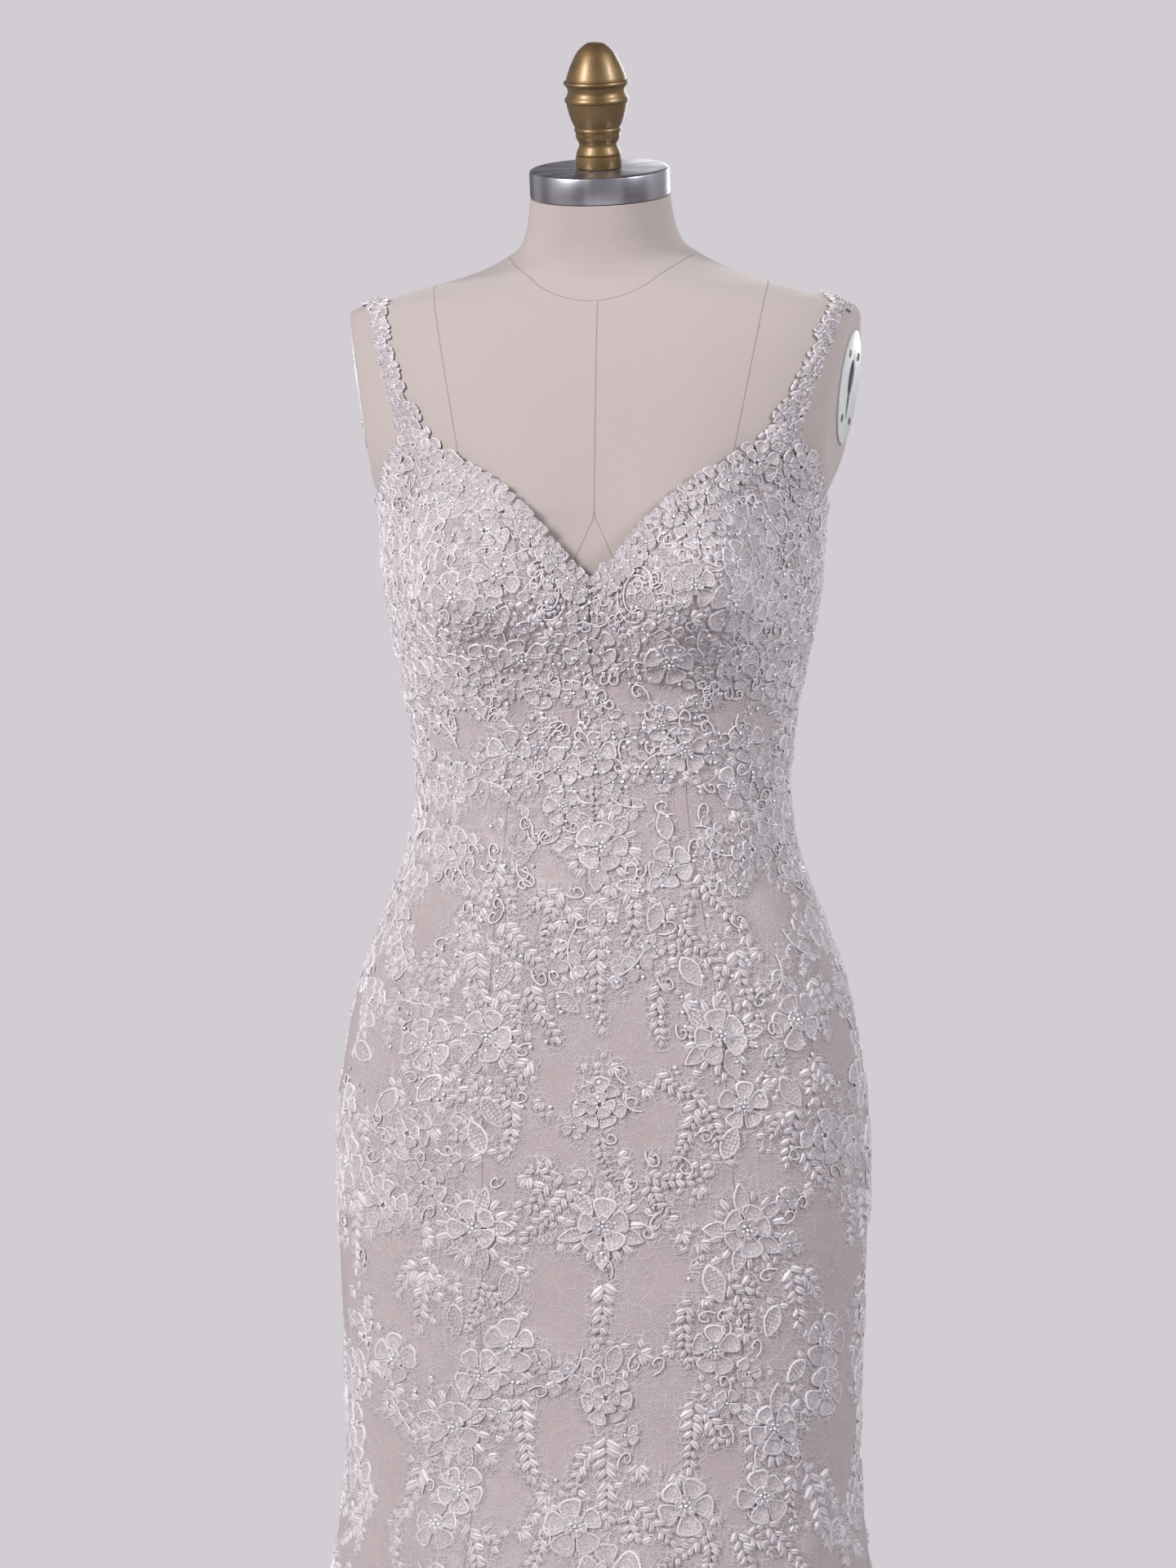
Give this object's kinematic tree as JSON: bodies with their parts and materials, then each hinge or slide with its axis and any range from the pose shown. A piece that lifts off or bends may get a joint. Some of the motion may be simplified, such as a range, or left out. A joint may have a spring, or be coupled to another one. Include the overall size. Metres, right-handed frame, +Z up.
{
  "type": "wedding dress on dress form",
  "caption": "Fitted sleeveless lace wedding gown with a sweetheart neckline, lace straps and a skirt flared from the knee, worn by a limbless dress form on a footed stand.",
  "frame": {"origin": "on the floor at the centre of the stand's base, under the dress form's vertical axis", "axes": "+Z up; the gown faces -Y; +X is the wearer's left"},
  "size_m": [0.8429, 0.8814, 1.6206],
  "materials": {
    "lace": "corded, beaded silver-ivory lace",
    "satin": "blush satin lining under fine net and lace",
    "linen": "plain linen cover, matte",
    "steel": "brushed",
    "gilt": "turned and painted old gold, satin",
    "iron": "black paint",
    "plate": "pale enamel, satin"
  },
  "bodies": {
    "root": {"arm_plate_left": "plate", "arm_plate_right": "plate", "back_left": "satin", "back_placket": "satin", "back_right": "satin", "bloom_back_left": "lace", "bloom_back_right": "lace", "bloom_front_hip_left": "lace", "bloom_front_hip_right": "lace", "bloom_front_knee_left": "lace", "bloom_front_knee_right": "lace", "bloom_front_thigh_centre": "lace", "bloom_front_thigh_left": "lace", "bloom_front_thigh_right": "lace", "bloom_front_waist": "lace", "bloom_side_left": "lace", "bloom_side_right": "lace", "button_01": "satin", "button_02": "satin", "button_03": "satin", "button_04": "satin", "button_05": "satin", "button_06": "satin", "button_07": "satin", "button_08": "satin", "button_09": "satin", "button_10": "satin", "button_11": "satin", "button_12": "satin", "cup_left": "satin", "cup_right": "satin", "finial": "gilt", "front_panel": "satin", "neck_cap": "steel", "neck_lace_left": "lace", "neck_lace_right": "lace", "side_back_left": "satin", "side_back_right": "satin", "side_front_left": "satin", "side_front_right": "satin", "stand_base": "iron", "stand_collar": "iron", "stand_flange": "iron", "stand_pole": "steel", "strap_left": "lace", "strap_right": "lace", "torso": "linen"}
  },
  "joints": []
}
